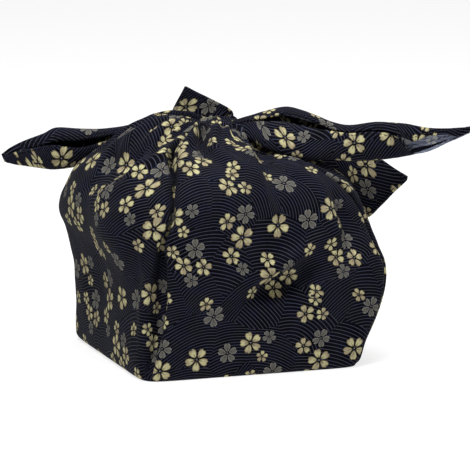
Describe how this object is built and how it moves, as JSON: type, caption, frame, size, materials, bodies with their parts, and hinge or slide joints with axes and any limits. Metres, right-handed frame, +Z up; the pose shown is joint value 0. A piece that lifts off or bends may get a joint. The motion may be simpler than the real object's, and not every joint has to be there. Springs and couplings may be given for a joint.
{
  "type": "furoshiki wrap",
  "caption": "Square cotton cloth with waves and cherry blossoms, tied by its four corners over a square box into a soft bundle with a flat base.",
  "frame": {"origin": "the middle of the flat base, on the surface that the bundle stands on", "axes": "+Z up through the knot; +X along the wall that faces the viewer, towards the longer tied end; +Y through the bundle, away from the viewer"},
  "size_m": [0.3228, 0.1943, 0.2002],
  "materials": {
    "cloth": "matte"
  },
  "bodies": {
    "root": {"cloth": "cloth"}
  },
  "joints": []
}
